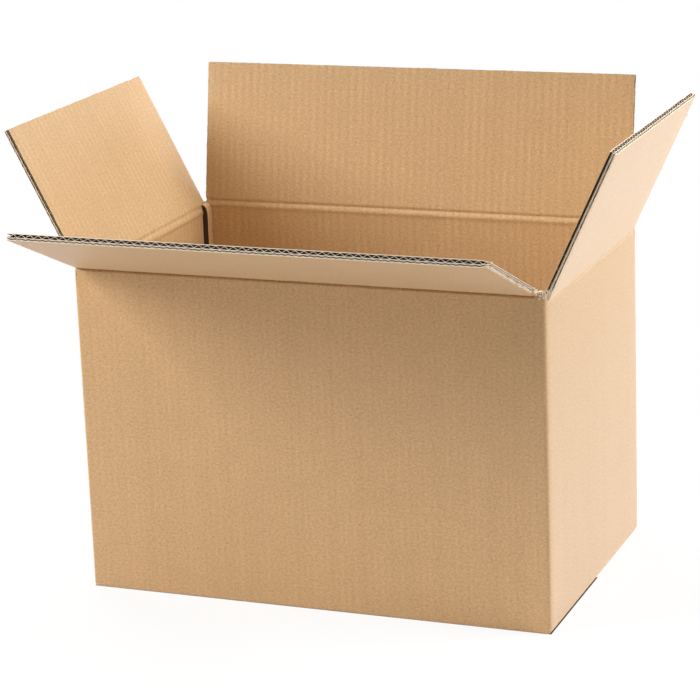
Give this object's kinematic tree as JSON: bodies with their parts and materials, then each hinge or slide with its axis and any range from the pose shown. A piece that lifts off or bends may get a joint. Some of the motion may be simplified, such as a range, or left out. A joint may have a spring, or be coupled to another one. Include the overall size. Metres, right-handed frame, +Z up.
{
  "type": "open cardboard box",
  "caption": "Open slotted shipping carton of brown double-wall corrugated board, with a closed folded bottom and hinged top flaps folded outwards.",
  "frame": {"origin": "centre of the carton's underside, on the floor, in the bottom seam", "axes": "+X to the right along the length as seen from the front, +Y from the front wall to the back wall, +Z up"},
  "size_m": [0.564, 0.4307, 0.436],
  "materials": {
    "kraft_board": "matte brown kraft paper liners on double-wall fluted board"
  },
  "bodies": {
    "carton": {"carton_body": "kraft_board"},
    "front_flap": {"front_flap": "kraft_board"},
    "back_flap": {"back_flap": "kraft_board"},
    "left_flap": {"left_flap": "kraft_board"},
    "right_flap": {"right_flap": "kraft_board"}
  },
  "joints": [
    {"name": "front_crease", "type": "hinge", "parent": "carton", "child": "front_flap", "pos_m": [0, -0.142, 0.302], "axis": [1, 0, 0], "range_deg": [-156, 109]},
    {"name": "back_crease", "type": "hinge", "parent": "carton", "child": "back_flap", "pos_m": [0, 0.142, 0.302], "axis": [-1, 0, 0], "range_deg": [-100, 165]},
    {"name": "left_crease", "type": "hinge", "parent": "carton", "child": "left_flap", "pos_m": [-0.22, 0, 0.2956], "axis": [0, -1, 0], "range_deg": [-117, 148]},
    {"name": "right_crease", "type": "hinge", "parent": "carton", "child": "right_flap", "pos_m": [0.22, 0, 0.2956], "axis": [0, 1, 0], "range_deg": [-115, 150]}
  ]
}
